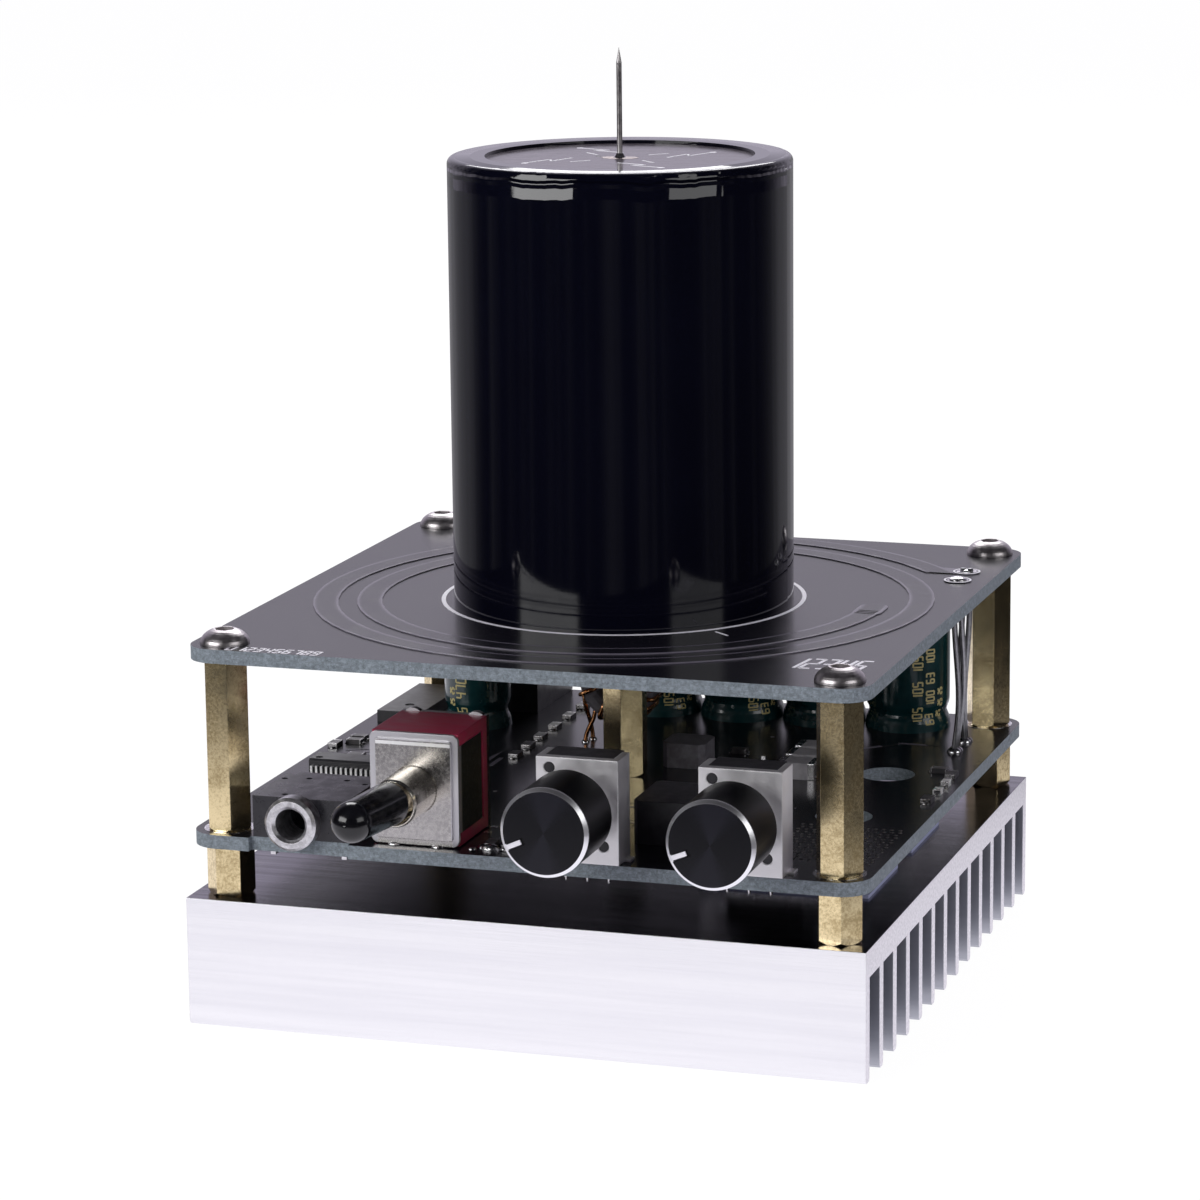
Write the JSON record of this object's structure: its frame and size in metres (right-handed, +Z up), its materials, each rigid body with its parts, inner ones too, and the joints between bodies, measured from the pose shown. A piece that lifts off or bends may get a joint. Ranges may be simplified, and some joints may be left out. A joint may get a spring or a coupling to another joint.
{
  "type": "desktop resonant transformer",
  "caption": "Small resonant transformer: finned heatsink, driver board with knobs, switch and jack, coil board on hex posts, and a sleeved upright coil with a needle.",
  "frame": {"origin": "centre of the heatsink's footprint, on the surface that it stands on", "axes": "+Z up along the coil's axis, +X towards the right as seen from the front, and -Y towards the front with the knobs, the switch and the jack"},
  "size_m": [0.08, 0.0998, 0.109],
  "materials": {
    "extruded_aluminium": "brushed lengthways",
    "brass": "satin, slightly tarnished",
    "board_black": "satin black mask over glass laminate with grey-green edges",
    "track_mask": "satin black mask over copper",
    "black_nickel": "dark polished",
    "sleeve_gloss": "glossy blue-black",
    "former_plastic": "matte",
    "copper": "bright enamelled",
    "silver_metal": "bright tinned",
    "nickel_plate": "polished nickel",
    "zinc": "matte die-cast",
    "black_plastic": "satin",
    "cap_rubber": "smooth satin",
    "red_plastic": "glossy crimson",
    "green_sleeve": "glossy dark green",
    "ferrite": "matte",
    "ceramic": "satin",
    "pad_blue": "matte",
    "lamp_clear": "clear",
    "white_print": "printed white",
    "gold_print": "printed pale gold"
  },
  "bodies": {
    "stack": {"heatsink": "extruded_aluminium", "lower_posts": "brass", "upper_posts": "brass", "centre_post": "brass", "driver_board": "board_black", "coil_board": "board_black", "primary_track": "track_mask", "board_screws": "black_nickel", "centre_screws": "black_nickel", "coil_former": "former_plastic", "secondary_winding": "copper", "coil_sleeve": "sleeve_gloss", "base_disc": "board_black", "top_disc": "board_black", "discharge_needle": "silver_metal", "jack_body": "black_plastic", "jack_barrel": "silver_metal", "jack_contacts": "silver_metal", "toggle_body": "red_plastic", "toggle_front_plate": "nickel_plate", "toggle_bushing": "nickel_plate", "toggle_bracket": "nickel_plate", "toggle_terminals": "silver_metal", "left_pot_frame": "zinc", "left_pot_case": "black_plastic", "left_pot_pins": "silver_metal", "right_pot_frame": "zinc", "right_pot_case": "black_plastic", "right_pot_pins": "silver_metal", "capacitor_1": "green_sleeve", "capacitor_2": "green_sleeve", "capacitor_3": "green_sleeve", "capacitor_4": "green_sleeve", "small_capacitor": "green_sleeve", "capacitor_cans": "silver_metal", "capacitor_leads": "silver_metal", "toroid_core": "ferrite", "toroid_winding": "copper", "power_inductor": "ferrite", "shielded_inductor": "black_plastic", "control_chip": "black_plastic", "control_chip_legs": "silver_metal", "power_chip": "black_plastic", "inlet_body": "black_plastic", "inlet_contacts": "silver_metal", "ceramic_capacitors": "ceramic", "chip_parts": "ceramic", "status_lights": "lamp_clear", "power_transistors": "black_plastic", "transistor_tabs": "silver_metal", "thermal_pads": "pad_blue", "transistor_screws": "black_nickel", "lead_wires": "silver_metal", "solder_joints": "silver_metal"},
    "lever": {"toggle_lever": "nickel_plate", "toggle_cap": "cap_rubber"},
    "left_dial": {"left_pot_shaft": "zinc", "left_knob": "black_plastic"},
    "right_dial": {"right_pot_shaft": "zinc", "right_knob": "black_plastic"}
  },
  "joints": [
    {"name": "toggle_tilt", "type": "hinge", "parent": "stack", "child": "lever", "pos_m": [-0.0127, -0.041, 0.0292], "axis": [1, 0, 0], "range_deg": [-8.5, 16.5]},
    {"name": "left_knob_turn", "type": "hinge", "parent": "stack", "child": "left_dial", "pos_m": [0.0071, -0.0428, 0.029], "axis": [0, 1, 0], "range_deg": [0, 280]},
    {"name": "right_knob_turn", "type": "hinge", "parent": "stack", "child": "right_dial", "pos_m": [0.0258, -0.0428, 0.029], "axis": [0, 1, 0], "range_deg": [0, 280]}
  ]
}
